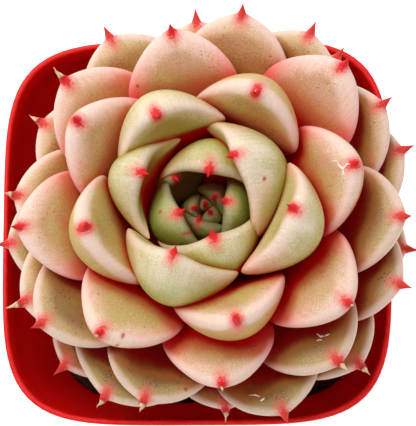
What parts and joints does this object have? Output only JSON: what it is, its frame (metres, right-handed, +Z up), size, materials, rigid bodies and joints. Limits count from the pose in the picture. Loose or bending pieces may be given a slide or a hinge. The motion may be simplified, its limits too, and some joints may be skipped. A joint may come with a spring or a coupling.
{
  "type": "potted echeveria",
  "caption": "Rosette of thick pointed succulent leaves on a short stem, rooted in soil in a square tapered plastic nursery pot that stands on its flat underside.",
  "frame": {"origin": "centre of the pot's flat underside", "axes": "+Z up, away from the surface that the pot stands on; +X and +Y square to the pot's sides"},
  "size_m": [0.0649, 0.0642, 0.0827],
  "materials": {
    "pot": "satin",
    "soil": "matte",
    "stem": "matte",
    "heart_leaf": "satin",
    "inner_leaf": "satin",
    "middle_leaf": "satin",
    "outer_leaf": "satin"
  },
  "bodies": {
    "root": {"pot": "pot", "soil": "soil", "stem": "stem", "heart_leaf_01": "heart_leaf", "heart_leaf_02": "heart_leaf", "heart_leaf_03": "heart_leaf", "heart_leaf_04": "heart_leaf", "heart_leaf_05": "heart_leaf", "heart_leaf_06": "heart_leaf", "heart_leaf_07": "heart_leaf", "heart_leaf_08": "heart_leaf", "inner_leaf_09": "inner_leaf", "inner_leaf_10": "inner_leaf", "inner_leaf_11": "inner_leaf", "inner_leaf_12": "inner_leaf", "inner_leaf_13": "inner_leaf", "inner_leaf_14": "inner_leaf", "inner_leaf_15": "inner_leaf", "middle_leaf_16": "middle_leaf", "middle_leaf_17": "middle_leaf", "middle_leaf_18": "middle_leaf", "middle_leaf_19": "middle_leaf", "middle_leaf_20": "middle_leaf", "middle_leaf_21": "middle_leaf", "middle_leaf_22": "middle_leaf", "middle_leaf_23": "middle_leaf", "middle_leaf_24": "middle_leaf", "middle_leaf_25": "middle_leaf", "middle_leaf_26": "middle_leaf", "middle_leaf_27": "middle_leaf", "outer_leaf_28": "outer_leaf", "outer_leaf_29": "outer_leaf", "outer_leaf_30": "outer_leaf", "outer_leaf_31": "outer_leaf", "outer_leaf_32": "outer_leaf", "outer_leaf_33": "outer_leaf", "outer_leaf_34": "outer_leaf", "outer_leaf_35": "outer_leaf", "outer_leaf_36": "outer_leaf", "outer_leaf_37": "outer_leaf", "outer_leaf_38": "outer_leaf", "outer_leaf_39": "outer_leaf", "outer_leaf_40": "outer_leaf", "outer_leaf_41": "outer_leaf", "outer_leaf_42": "outer_leaf", "outer_leaf_43": "outer_leaf", "outer_leaf_44": "outer_leaf", "outer_leaf_45": "outer_leaf", "outer_leaf_46": "outer_leaf", "outer_leaf_47": "outer_leaf", "outer_leaf_48": "outer_leaf", "outer_leaf_49": "outer_leaf", "outer_leaf_50": "outer_leaf"}
  },
  "joints": []
}
